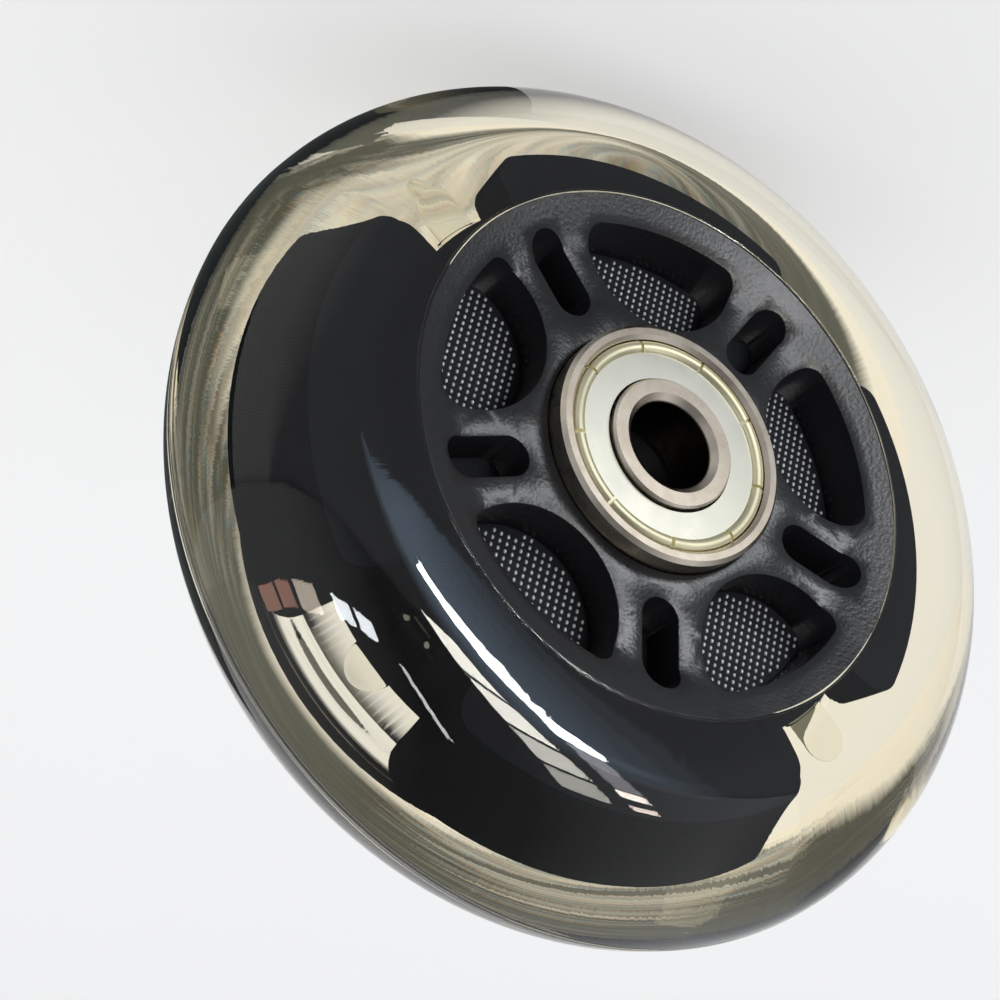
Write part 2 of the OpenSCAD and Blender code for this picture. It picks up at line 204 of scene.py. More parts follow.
class Nodes:
    """Short names for building a tree of shader nodes."""

    def __init__(self, tree):
        self.tree = tree

    def link(self, source, target):
        self.tree.links.new(source, target)

    def fill(self, socket, value):
        """Links a socket to another one, or gives it a constant."""
        if isinstance(value, bpy.types.NodeSocket):
            self.link(value, socket)
        else:
            socket.default_value = value

    def add(self, kind, inputs=None, **settings):
        node = self.tree.nodes.new(kind)
        for key, value in settings.items():
            setattr(node, key, value)
        for key, value in (inputs or {}).items():
            self.fill(node.inputs[key], value)
        return node

    def math(self, operation, a, b=0.0):
        return self.add("ShaderNodeMath", {0: a, 1: b}, operation=operation).outputs[0]

    def axes(self, vector):
        return self.add("ShaderNodeSeparateXYZ", {0: vector}).outputs

    def remap(self, value, low, high, to_low, to_high):
        node = self.add("ShaderNodeMapRange", {
            "Value": value, "From Min": low, "From Max": high, "To Min": to_low, "To Max": to_high})
        return node.outputs["Result"]

    def mix(self, share, a, b, how="MIX"):
        """Two colours mixed, each a socket or a tuple of red, green and blue."""
        a, b = [(*colour, 1) if isinstance(colour, tuple) else colour for colour in (a, b)]
        node = self.add("ShaderNodeMix", {0: share, 6: a, 7: b}, data_type="RGBA", blend_type=how)
        return node.outputs[2]

    def ramp(self, value, stops):
        """Colours along a value, with stops as (position, colour)."""
        node = self.add("ShaderNodeValToRGB", {0: value})
        elements = node.color_ramp.elements
        for at, _ in stops[1:-1]:
            elements.new(at)
        for element, (at, colour) in zip(elements, stops):
            element.position = at
            element.color = (*colour, 1)
        return node.outputs[0]


class Finish(Nodes):
    """Nodes of a material. Its sockets are named with underscores instead of spaces."""

    def __init__(self, name, **constants):
        self.material = bpy.data.materials.new(name)
        self.material.use_nodes = True
        super().__init__(self.material.node_tree)
        self.shader = self.tree.nodes["Principled BSDF"]
        self.output = self.tree.nodes["Material Output"]
        self.use(**constants)

    def use(self, **sockets):
        for name, value in sockets.items():
            self.fill(self.shader.inputs[name.replace("_", " ")], value)
        return self.material

    def place(self):
        return self.add("ShaderNodeTexCoord").outputs["Object"]

    def turned(self, across, around, along):
        """Coordinates of a turned piece: distance from the axis, angle and height, each scaled."""
        x, y, z = self.axes(self.place())
        square = self.math("ADD", self.math("MULTIPLY", x, x), self.math("MULTIPLY", z, z))
        radius = self.math("SQRT", square)
        angle = self.math("ARCTAN2", z, x)
        joined = self.add("ShaderNodeCombineXYZ", {
            0: self.math("MULTIPLY", radius, across),
            1: self.math("MULTIPLY", angle, around),
            2: self.math("MULTIPLY", y, along)})
        return joined.outputs[0], radius

    def noise(self, scale, detail=4.0, rough=0.55, vector=None):
        node = self.add("ShaderNodeTexNoise", {
            "Vector": vector or self.place(), "Scale": scale, "Detail": detail, "Roughness": rough})
        return node.outputs["Fac"]

    def bump(self, height, distance, strength, normal=None):
        inputs = {"Height": height, "Distance": distance, "Strength": strength}
        if normal:
            inputs["Normal"] = normal
        return self.add("ShaderNodeBump", inputs).outputs["Normal"]


def clear_urethane():
    t = Finish(
        "clear_urethane", Base_Color=(1.0, 0.995, 0.98, 1), Roughness=0.02, IOR=1.47,
        Specular_IOR_Level=0.38, Transmission_Weight=1.0)
    flow, _ = t.turned(60, 1.6, 90)
    ridges, _ = t.turned(20, 34, 16)
    waves = t.bump(t.noise(1.0, 2.0, 0.5, flow), 0.12 * MM, 0.3)
    fine = t.bump(t.noise(1.0, 3.0, 0.6, ridges), 0.02 * MM, 0.3, waves)
    t.use(Normal=fine)
    # Light passes to what the tyre holds, as it does through real cast urethane
    path = t.add("ShaderNodeLightPath")
    passing = t.add("ShaderNodeBsdfTransparent", {"Color": (0.96, 0.95, 0.92, 1)})
    either = t.add("ShaderNodeMixShader", {
        0: path.outputs["Is Shadow Ray"], 1: t.shader.outputs[0], 2: passing.outputs[0]})
    t.link(either.outputs[0], t.output.inputs["Surface"])
    tint = t.add("ShaderNodeVolumeAbsorption", {"Color": (0.983, 0.915, 0.69, 1), "Density": 36.0})
    t.link(tint.outputs[0], t.output.inputs["Volume"])
    return t.material


def black_nylon():
    t = Finish("black_nylon", IOR=1.5, Specular_IOR_Level=0.24)
    blotch = t.noise(180, 3.0)
    grain = t.add("ShaderNodeTexVoronoi", {"Vector": t.place(), "Scale": 3000.0}, feature="SMOOTH_F1")
    leather = t.bump(grain.outputs["Distance"], 0.028 * MM, 0.6)
    skin = t.bump(t.noise(7000, 3.0, 0.6), 0.010 * MM, 0.4, leather)
    colour = t.mix(blotch, (0.0038, 0.0041, 0.0050), (0.0066, 0.0070, 0.0084))
    return t.use(Base_Color=colour, Roughness=t.remap(blotch, 0.3, 0.7, 0.25, 0.33), Normal=skin)


def covered_nylon():
    """The hub under the urethane, which wets it, so that it looks smooth and dark."""
    t = Finish("covered_nylon", IOR=1.5, Specular_IOR_Level=0.0)
    colour = t.mix(t.noise(140, 3.0), (0.0030, 0.0034, 0.0050), (0.0055, 0.0062, 0.0088))
    return t.use(Base_Color=colour, Roughness=t.remap(t.noise(500), 0.3, 0.7, 0.7, 0.9))


def window_nylon():
    """Floors of the windows, matt and out of the light."""
    t = Finish("window_nylon", IOR=1.5, Specular_IOR_Level=0.06)
    colour = t.mix(t.noise(600, 3.0), (0.004, 0.0045, 0.006), (0.009, 0.010, 0.013))
    return t.use(
        Base_Color=colour,
        Roughness=t.remap(t.noise(1500), 0.3, 0.7, 0.55, 0.75),
        Normal=t.bump(t.noise(5200, 3.0), 0.01 * MM, 0.3))


def painted_glint_nylon():
    """Tips of the dots on the window floors, shiny, and painted a light grey that stands in for glints of
    light on them: a painted highlight.
    """
    t = Finish("painted_glint_nylon", IOR=1.5, Specular_IOR_Level=0.9)
    # Painted highlight: a light grey, far paler than the hub's black nylon, in place of glints
    colour = t.mix(t.noise(900, 3.0), (0.12, 0.124, 0.136), (0.29, 0.296, 0.318))
    return t.use(
        Base_Color=colour,
        Roughness=t.remap(t.noise(1500), 0.3, 0.7, 0.18, 0.28),
        Normal=t.bump(t.noise(5200, 3.0), 0.008 * MM, 0.3))


def dark_nylon():
    t = Finish("spacer_nylon", IOR=1.5)
    lathe, _ = t.turned(4000, 2.0, 4000)
    colour = t.mix(t.noise(700, 3.0), (0.010, 0.0095, 0.009), (0.022, 0.020, 0.019))
    return t.use(
        Base_Color=colour,
        Roughness=t.remap(t.noise(1500), 0.3, 0.7, 0.45, 0.6),
        Normal=t.bump(t.noise(1.0, 2.0, 0.6, lathe), 0.01 * MM, 0.3))


def turned_steel(name, bright, brown, rough_low, rough_high):
    t = Finish(name, Metallic=1.0)
    lathe, radius = t.turned(9000, 2.0, 9000)
    lines = t.noise(1.0, 2.0, 0.6, lathe)
    stain = t.noise(420, 4.0, 0.6)
    ground = t.mix(t.remap(stain, 0.35, 0.75, 0.0, 0.8), bright, brown)
    # Bores are painted dark brown: painted shade inside the holes
    out_of_shaded_bore = t.remap(radius, 4.03 * MM, 4.12 * MM, 0.0, 1.0)
    return t.use(
        Base_Color=t.mix(out_of_shaded_bore, (0.10, 0.075, 0.06), ground),
        Roughness=t.remap(t.noise(900, 3.0), 0.3, 0.7, rough_low, rough_high),
        Normal=t.bump(lines, 0.006 * MM, 0.25))


def zinc_plate():
    t = Finish("zinc_plate", Metallic=1.0)
    lathe, radius = t.turned(5000, 1.2, 5000)
    cloud = t.noise(330, 4.0, 0.6)
    golden = t.remap(radius, 8.42 * MM, 8.60 * MM, 0.0, 0.9)
    pale = t.mix(cloud, (0.77, 0.77, 0.68), (0.83, 0.83, 0.76))
    spangle = t.noise(2600, 2.0)
    lines = t.bump(t.noise(1.0, 2.0, 0.5, lathe), 0.004 * MM, 0.2)
    return t.use(
        Base_Color=t.mix(golden, pale, (0.84, 0.79, 0.55)),
        Roughness=t.remap(cloud, 0.3, 0.7, 0.26, 0.4),
        Normal=t.bump(spangle, 0.008 * MM, 0.25, lines))


def polished_steel():
    t = Finish("ball_steel", Metallic=1.0)
    colour = t.mix(t.noise(700), (0.76, 0.76, 0.77), (0.84, 0.84, 0.85))
    return t.use(Base_Color=colour, Roughness=t.remap(t.noise(1500), 0.3, 0.7, 0.05, 0.12))


def natural_nylon():
    t = Finish("natural_nylon", IOR=1.5, Subsurface_Weight=0.1)
    colour = t.mix(t.noise(500), (0.72, 0.69, 0.60), (0.80, 0.77, 0.69))
    return t.use(
        Base_Color=colour,
        Roughness=t.remap(t.noise(1400), 0.3, 0.7, 0.38, 0.55),
        Normal=t.bump(t.noise(3000), 0.01 * MM, 0.3))


def sintered_ferrite():
    t = Finish("ferrite", IOR=1.6)
    colour = t.mix(t.noise(2600, 5.0, 0.7), (0.030, 0.029, 0.028), (0.075, 0.072, 0.070))
    return t.use(
        Base_Color=colour,
        Roughness=t.remap(t.noise(1700), 0.3, 0.7, 0.55, 0.75),
        Normal=t.bump(t.noise(3800, 5.0, 0.7), 0.02 * MM, 0.5))


def copper_wire():
    t = Finish("copper_wire", Metallic=1.0, Coat_Weight=0.5)
    wound, _ = t.turned(0.0, 0.0, 1.0 / (0.2 * MM))
    turns = t.add("ShaderNodeTexWave", {"Vector": wound, "Scale": 1.0}, bands_direction="Z")
    colour = t.mix(t.noise(900), (0.62, 0.27, 0.12), (0.74, 0.37, 0.18))
    return t.use(
        Base_Color=colour,
        Roughness=t.remap(t.noise(1600), 0.3, 0.7, 0.22, 0.36),
        Normal=t.bump(turns.outputs["Fac"], 0.04 * MM, 0.8))


def green_board():
    t = Finish("circuit_board", IOR=1.5)
    colour = t.mix(t.noise(800), (0.020, 0.110, 0.048), (0.035, 0.160, 0.072))
    return t.use(
        Base_Color=colour,
        Roughness=t.remap(t.noise(1800), 0.3, 0.7, 0.25, 0.4),
        Normal=t.bump(t.noise(2600), 0.01 * MM, 0.3))


def clear_epoxy():
    """Lens of a lamp: it lies in the urethane, so it bends light only a little more than that does."""
    t = Finish("clear_epoxy", Roughness=0.02, IOR=1.012, Transmission_Weight=1.0)
    colour = t.mix(t.noise(600), (0.93, 0.92, 0.86), (0.97, 0.96, 0.92))
    return t.use(Base_Color=colour, Normal=t.bump(t.noise(900), 0.01 * MM, 0.2))


def pale_floor():
    t = Finish("pale_floor", IOR=1.3)
    colour = t.mix(t.noise(3.0, 3.0), (0.845, 0.85, 0.862), (0.885, 0.89, 0.90))
    # Part of its paleness is a glow of its own, so that the shadow on it stays soft; that glow is painted
    # light, brighter towards +Y
    path = t.add("ShaderNodeLightPath")
    seen = t.math("ADD", path.outputs["Is Camera Ray"], path.outputs["Is Glossy Ray"])
    seen = t.math("MAXIMUM", seen, path.outputs["Is Transmission Ray"])
    _, y, _ = t.axes(t.place())
    # Painted light: the glow rises from the front of the floor to its back
    glow = t.add("ShaderNodeEmission", {
        "Color": (0.985, 0.99, 1.0, 1), "Strength": t.remap(y, -0.12, 0.12, 0.83, 0.96)})
    either = t.add("ShaderNodeMixShader", {
        0: t.math("MULTIPLY", seen, 0.5), 1: t.shader.outputs[0], 2: glow.outputs[0]})
    t.link(either.outputs[0], t.output.inputs["Surface"])
    t.material.cycles.emission_sampling = "NONE"
    return t.use(Base_Color=colour, Roughness=t.remap(t.noise(40), 0.3, 0.7, 0.75, 0.9))


def plain_card(name, dark, pale):
    t = Finish(name, Roughness=0.9)
    return t.use(Base_Color=t.mix(t.noise(30, 3.0), dark, pale))


def mirrored_floor():
    """The floor in front of the wheel's face, as the wheel mirrors it: grey with painted shade, with an
    open pale part to one side.
    """
    t = Finish("mirrored_floor", Roughness=0.9)
    x, y, _ = t.axes(t.place())
    clear_of_wheel = t.remap(x, 15 * MM, 45 * MM, 0.0, 1.0)
    wedge = t.math("ADD", y, t.math("MULTIPLY", x, 0.4))
    clear_of_front = t.remap(wedge, -50 * MM, -10 * MM, 0.0, 1.0)
    # Painted shade: grey where the mirrored floor in front lies in shade
    grey = t.mix(t.noise(30, 3.0), (0.30, 0.31, 0.33), (0.42, 0.43, 0.45))
    open_part = t.math("MULTIPLY", clear_of_wheel, clear_of_front)
    return t.use(Base_Color=t.mix(open_part, grey, (0.86, 0.855, 0.83)))


def shaded_floor():
    """Painted shadow of the wheel on the floor, as it shows through the tyre: an olive card that glows,
    with pale streaks of painted light.
    """
    t = Finish("shade_card", Base_Color=(0, 0, 0, 1), Roughness=0.9, Emission_Strength=1.0)
    x, y, _ = t.axes(t.place())
    # A band of painted shade lies between the painted pale floor in front of it and the streaky floor
    # beyond
    across = t.remap(x, -18 * MM, -10 * MM, 0.0, 0.56)
    beyond = t.remap(x, -62 * MM, -54 * MM, 0.22, 0.0)
    near = t.remap(y, 17 * MM, 28 * MM, 0.0, 1.0)
    slant = t.math("MINIMUM", t.math("ADD", x, 36 * MM), 0.0)
    far = t.remap(t.math("ADD", y, t.math("MULTIPLY", slant, 0.5)), 55 * MM, 63 * MM, 0.0, 1.0)
    lit = t.math("MULTIPLY", t.math("MAXIMUM", across, beyond), near)
    level = t.math("MAXIMUM", lit, far)
    front_streaks = t.remap(x, -34 * MM, -20 * MM, 0.12, 0.9)
    streaky = t.math("MAXIMUM", front_streaks, t.remap(x, -58 * MM, -50 * MM, 1.2, 0.12))
    # Painted shadow colour and painted light colour of the floor
    dark = (0.072, 0.075, 0.058)
    pale = (0.92, 0.89, 0.83)
    bands = []
    for n in range(3):
        # Each colour is bent a little further, which edges the painted streaks of light with colour
        shift = t.add("ShaderNodeMapping", {
            "Vector": t.place(), "Location": (0.05 * n, 0, 0),
            "Rotation": (0, 0, 0.5), "Scale": (90, 420, 1)})
        streak = t.remap(t.noise(1.0, 4.0, 0.65, shift.outputs[0]), 0.35, 0.68, -0.16, 0.34)
        streak = t.math("MULTIPLY", streak, streaky)
        bands.append(t.remap(t.math("ADD", level, streak), 0.0, 1.0, dark[n], pale[n]))
    colour = t.add("ShaderNodeCombineColor", dict(enumerate(bands)))
    t.material.cycles.emission_sampling = "NONE"
    return t.use(Emission_Color=colour.outputs[0])


# Camera, floor, cards and room


def add_camera():
    data = bpy.data.cameras.new("camera")
    data.lens = CAMERA_LENS
    data.clip_start = CAMERA_NEAR
    camera = add_object("camera", data)
    aim = (CAMERA_AIM - CAMERA_AT).to_track_quat("-Z", "Y").to_matrix().to_4x4()
    roll = Matrix.Rotation(-CAMERA_ROLL, 4, "Z")
    camera.matrix_world = Matrix.Translation(CAMERA_AT) @ aim @ roll
    bpy.context.scene.camera = camera


def flat_sheet(x_low, y_low, x_high, y_high, z):
    """Corners of a level rectangle."""
    return [(x_low, y_low, z), (x_high, y_low, z), (x_high, y_high, z), (x_low, y_high, z)]


def upright_sheet(start, end, low, high):
    """Corners of a rectangle that stands between two points of the floor."""
    return [(*start, low), (*end, low), (*end, high), (*start, high)]


def add_sheet(name, corners, material):
    mesh = bpy.data.meshes.new(name)
    mesh.from_pydata(corners, [], [tuple(range(len(corners)))])
    mesh.materials.append(material)
    return add_object(name, mesh)


def add_floor():
    corners = flat_sheet(-FLOOR_HALF, -FLOOR_HALF, FLOOR_HALF, FLOOR_HALF, -TYRE_R)
    floor = add_sheet("floor", corners, pale_floor())


def add_card(name, corners, material, sight):
    """A card beside the wheel that only one kind of ray meets."""
    card = add_sheet(name, [tuple(Vector(corner) * MM) for corner in corners], material)
    for kind in KINDS_OF_SIGHT:
        setattr(card, "visible_" + kind, kind == sight)


def add_cards():
    # What shows through the tyre: the floor with its painted shadow, and two uprights that flat rays meet,
    # dark sheets of painted shade
    shade = flat_sheet(-80, 8, 14, 84, CARD_LEVEL)
    add_card("shade_card", shade, shaded_floor(), "transmission")
    # Painted shade: a dark grey upright
    side = upright_sheet((-66, 62), (-340, -20), CARD_LEVEL, -3)
    painted_shade = plain_card("painted_shade_card", (0.12, 0.125, 0.11), (0.19, 0.195, 0.175))
    add_card("side_card", side, painted_shade, "transmission")
    # A second upright of painted shade, olive
    edge = upright_sheet((-52, 58), (-66, 62), CARD_LEVEL, -34)
    olive = plain_card("olive_card", (0.10, 0.105, 0.085), (0.17, 0.17, 0.14))
    add_card("edge_card", edge, olive, "transmission")
    # What the tyre and the hub mirror: the floor in front of the wheel, grey with painted shade, and to
    # one side of it, dark with painted shade
    front = flat_sheet(-CARD_REACH, -CARD_REACH, CARD_REACH, FRONT_CARD_END, CARD_LEVEL)
    add_card("front_card", front, mirrored_floor(), "glossy")
    right = flat_sheet(RIGHT_CARD_START, FRONT_CARD_END, CARD_REACH, CARD_REACH, CARD_LEVEL)
    # Painted shade: a dark sheet that only mirror rays see
    dark = plain_card("dark_card", (0.05, 0.06, 0.065), (0.09, 0.105, 0.115))
    add_card("right_card", right, dark, "glossy")


def add_world():
    """A plain room: a pale backdrop behind the wheel, greyer towards the other sides."""
    world = bpy.data.worlds.new("room")
    world.use_nodes = True
    w = Nodes(world.node_tree)
    way = w.add("ShaderNodeTexCoord").outputs["Generated"]
    path = w.add("ShaderNodeLightPath").outputs
    backward = w.add("ShaderNodeVectorMath", {0: way, 1: BACKDROP_WAY}, operation="DOT_PRODUCT")
    room = w.ramp(backward.outputs["Value"], ((0.70, ROOM_COLOUR), (0.90, BACKDROP_COLOUR)))
    # Mirror images show a grey room, paler towards the walls on both sides
    x, _, _ = w.axes(way)
    stops = [(at, WALL_TINT * level) for at, level in WALL_LEVELS]
    walls = w.ramp(w.remap(x, -1.0, 1.0, 0.0, 1.0), stops)
    rays = {0: path["Is Glossy Ray"], 1: path["Is Transmission Ray"]}
    mirrored = w.add("ShaderNodeMath", rays, operation="SUBTRACT", use_clamp=True).outputs[0]
    room = w.mix(mirrored, room, walls, "LIGHTEN")
    # Matt surfaces get level light from all sides
    room = w.mix(path["Is Diffuse Ray"], room, LEVEL_LIGHT)
    # The camera itself sees a pale room from every side
    room = w.mix(path["Is Camera Ray"], room, BACKDROP_COLOUR)
    w.link(room, w.tree.nodes["Background"].inputs["Color"])
    bpy.context.scene.world = world


# Lights, with places and widths in millimetres


def receivers(name, pieces, link="INCLUDE"):
    """The only pieces that a light falls on, or the only ones that it leaves out."""
    lit = bpy.data.collections.new(name)
    for piece in pieces:
        lit.objects.link(bpy.data.objects[piece])
    for entry in lit.collection_objects:
        entry.light_linking.link_state = link
    return lit


def add_light(name, start, end, width, radiance, colour, toward, lit):
    """A flat light between two points, turned about its length to face a third one."""
    a = Vector(start) * MM
    b = Vector(end) * MM
    middle = (a + b) / 2
    length = (b - a).length
    height = width * MM
    data = bpy.data.lights.new(name, "AREA")
    data.shape = "RECTANGLE"
    data.size = length
    data.size_y = height
    data.energy = radiance * math.pi * length * height
    data.color = colour
    lamp = add_object(name, data)
    along = (b - a).normalized()
    away = middle - Vector(toward) * MM
    away = (away - away.dot(along) * along).normalized()
    turn = Matrix((along, away.cross(along), away)).transposed().to_4x4()
    lamp.matrix_world = Matrix.Translation(middle) @ turn
    lamp.visible_camera = False
    lamp.visible_transmission = False
    lamp.light_linking.receiver_collection = lit


def add_streak(lit):
    """The long streak on the tyre: it widens along its way and ends in dimmer and reddish bars."""
    pairs = zip(STREAK_STATIONS, STREAK_STATIONS[1:])
    for n, ((x, z, width), (next_x, next_z, next_width)) in enumerate(pairs):
        start = (x, STREAK_Y, z)
        end = (next_x, STREAK_Y, next_z)
        mean = (width + next_width) / 2
        add_light(f"streak_{n + 1}", start, end, mean, STREAK_RADIANCE, (1, 1, 1), STREAK_SPOT, lit)
    bars = (
        ((-28.6, 22), (-30.4, 38), 9.5, 5.0, (0.90, 0.90, 1.0)),
        ((-30.4, 38), (-37.4, 56), 9.5, 4.0, (0.92, 0.88, 0.96)),
        ((-37.8, 57), (-41.4, 65), 10.5, 26.0, (1.0, 0.90, 0.82)),
        ((-45.6, 73), (-48.8, 79.5), 10.5, 20.0, (1.0, 0.84, 0.74)))
    for n, ((x, z), (next_x, next_z), width, radiance, colour) in enumerate(bars):
        start = (x, STREAK_Y, z)
        end = (next_x, STREAK_Y, next_z)
        add_light(f"bar_{n + 1}", start, end, width, radiance, colour, STREAK_SPOT, lit)


def add_haze(lit):
    """A faint blue haze round the streak, made of wider and wider lights behind each other."""
    radiance = 0.34
    blue = (0.55, 0.75, 1.0)
    for n in range(HAZE_STEPS):
        y = HAZE_Y - 0.2 * n
        start = (-16, y, -34 - 3 * n)
        end = (-31, y, 14 + 5 * n)
        width = 14 + 9 * n
        add_light(f"haze_{n + 1}", start, end, width, radiance, blue, STREAK_SPOT, lit)


def add_panes(lit):
    """A second, paler streak beside the long one, with gaps in it."""
    width = 30
    cream = (1.0, 0.97, 0.88)
    count = len(PANE_RADIANCES)
    for n, radiance in enumerate(PANE_RADIANCES):
        start = blend(PANES_START, PANES_END, (n + PANE_GAP) / count)
        end = blend(PANES_START, PANES_END, (n + 1 - PANE_GAP) / count)
        add_light(f"pane_{n + 1}", start, end, width, radiance, cream, STREAK_SPOT, lit)


def add_corner(lit):
    """Reddish and white patches at the left of the tyre, as the camera sees it."""
    patches = (
        ((214, 6, 95), (210, -28, 96), 22, 5.0, (1.0, 0.52, 0.38)),
        ((209, -34, 96), (202, -62, 97), 22, 5.0, (1.0, 0.50, 0.36)),
        ((198, -70, 97), (180, -104, 98), 26, 9.0, (1.0, 0.86, 0.70)),
        ((164, -128, 98), (146, -148, 100), 20, 24.0, (0.92, 0.96, 1.0)),
        ((140, -152, 100), (120, -166, 102), 20, 24.0, (0.92, 0.96, 1.0)))
    for n, (start, end, width, radiance, colour) in enumerate(patches):
        add_light(f"patch_{n + 1}", start, end, width, radiance, colour, CORNER_SPOT, lit)


def add_lights():
    tyre = ("tyre_casting",)
    hub = ("hub_front_moulding", "hub_rear_moulding", "front_window_dots", "rear_window_dots")
    bearing = ("front_outer_ring", "front_inner_ring", "front_outer_shield")
    off_ceiling = receivers("off_ceiling", tyre + bearing, "EXCLUDE")
    add_light(
        "ceiling", (-1150, -550, 1500), (1250, -550, 1500), 2200, 1.15, (1.0, 0.995, 0.985),
        (0, 150, 0), off_ceiling)
    on_tyre = receivers("on_tyre", tyre)
    add_streak(on_tyre)
    add_haze(on_tyre)
    add_panes(receivers("on_wheel", tyre + hub))
    add_light("gap", (97, -172, 119), (63, -144, 173), 6, 14.0, (1, 1, 1), GAP_SPOT, on_tyre)
    # Sheen on the hub's face and on its dished edge
    on_hub = receivers("on_hub", hub)
    add_light(
        "face_glow", (-76, -103, -38.5), (-22, -103, -38.5), 48, 20.0, (0.94, 0.97, 1.0),
        (-49, -103, 90), on_hub)
    add_light(
        "cone_glow", (-60, -160, -20), (-24, -160, -20), 26, 26.0, (0.97, 0.98, 1.0),
        (-15, -11, -18), on_hub)
    # What the bearing mirrors
    on_bearing = receivers("on_bearing", bearing)
    add_light(
        "bearing_glow", (-88, -82, -35), (22, -82, -35), 110, 0.92, (1.0, 1.0, 0.95),
        (0, -12, 0), on_bearing)
    add_light(
        "bearing_spot", (-31, -49, -18), (-6, -49, -18), 25, 0.42, (1.0, 1.0, 0.98),
        (5, -12, 5), on_bearing)
    add_corner(on_tyre)


# The tyre


def lobe_end(out_r, half):
    """Rounded end of a rim lobe as (radius, angle), from its foot to its crown; half is half its angle."""
    steps = 8
    corner_at = out_r - LOBE_CORNER_R
    corner_angle = half - math.asin(LOBE_CORNER_R / corner_at)
    end = []
    for i in range(steps + 1):
        way = blend(half + math.pi / 2, corner_angle, i / steps)
        x = corner_at * math.cos(corner_angle) + LOBE_CORNER_R * math.cos(way)
        y = corner_at * math.sin(corner_angle) + LOBE_CORNER_R * math.sin(way)
        end.append((math.hypot(x, y), math.atan2(y, x)))
    end[0] = (end[0][0], half - LOBE_DRAFT)
    return end, corner_angle


def drum_outline():
    """Round the rim drum, a little inside its skin: notch floors and lobes with rounded ends."""
    lobe_steps = 40
    notch_steps = 16
    out_r = DRUM_R - CAST_OVERLAP
    floor_r = NOTCH_R - CAST_OVERLAP
    half = (LOBE_PITCH - NOTCH_ANGLE) / 2 - CAST_OVERLAP / floor_r
    end, corner_angle = lobe_end(out_r, half)
    outline = []
    for lobe in range(LOBE_COUNT):
        middle = LOBE_PITCH * lobe
        outline.append((floor_r, middle - half))
        outline += [(r, middle - a) for r, a in end]
        for i in range(1, lobe_steps):
            outline.append((out_r, middle + blend(-corner_angle, corner_angle, i / lobe_steps)))
        outline += [(r, middle + a) for r, a in reversed(end)]
        outline.append((floor_r, middle + half))
        for i in range(1, notch_steps):
            outline.append((floor_r, middle + blend(half, LOBE_PITCH - half, i / notch_steps)))
    return outline


def side_outline(drop):
    """One side of the tyre from the hub's edge to the parting line, as (radius, height, normal)."""
    side_steps = 16
    tread_steps = 72
    # Steps of the tread get shorter by this power towards the parting line
    crowding = 1.5
    lip_r = COLLAR_R + LIP_R
    lip_h = TYRE_HALF_W - drop
    side = []
    for i in range(LIP_STEPS):
        a = math.pi * (1 - i / LIP_STEPS)
        normal = Vector((math.cos(a), math.sin(a)))
        side.append((lip_r + LIP_R * normal.x, lip_h + LIP_R * normal.y, normal))
    lip_share = 2 * LIP_R / (WIDE_R - COLLAR_R)
    for i in range(side_steps):
        s = (1 - lip_share) * (1 - i / side_steps)
        slope = 2 * drop * s / (WIDE_R - COLLAR_R)
        normal = Vector((-slope, 1)).normalized()
        side.append((blend(WIDE_R, COLLAR_R, s), TYRE_HALF_W - drop * s * s, normal))
    depth = TYRE_R - WIDE_R
    for i in range(tread_steps):
        a = math.pi / 2 * (1 - i / tread_steps) ** crowding
        across = math.cos(a) ** (2 / TREAD_POWER)
        up = math.sin(a) ** (2 / TREAD_POWER)
        normal = Vector((across ** (TREAD_POWER - 1) / depth, up ** (TREAD_POWER - 1) / TYRE_HALF_W))
        height = TYRE_HALF_W * up
        seam = math.exp(-((height - SEAM_AT) / SEAM_W) ** 2)
        normal.y += 2 * SEAM_H * seam * (height - SEAM_AT) / SEAM_W ** 2 * normal.x
        radius = WIDE_R + depth * across - SEAM_H * (1 - seam)
        side.append((radius, height, normal.normalized()))
    return side


def tyre_outline():
    """The tyre's outer outline from the front edge to the rear edge, as (radius, height, normal)."""
    middle = [(TYRE_R - SEAM_H, 0.0, Vector((1, 0)))]
    rear = [(r, -h, Vector((n.x, -n.y))) for r, h, n in reversed(side_outline(REAR_DROP))]
    return side_outline(FRONT_DROP) + middle + rear


def seat_radius(radius, angle, half):
    """Radius of the drum's outline, sunk where a lamp's foot stands."""
    away = abs(angle % LOBE_PITCH - LOBE_PITCH / 2)
    return LAMP_SEAT_R - CAST_OVERLAP if away * NOTCH_R < half else radius


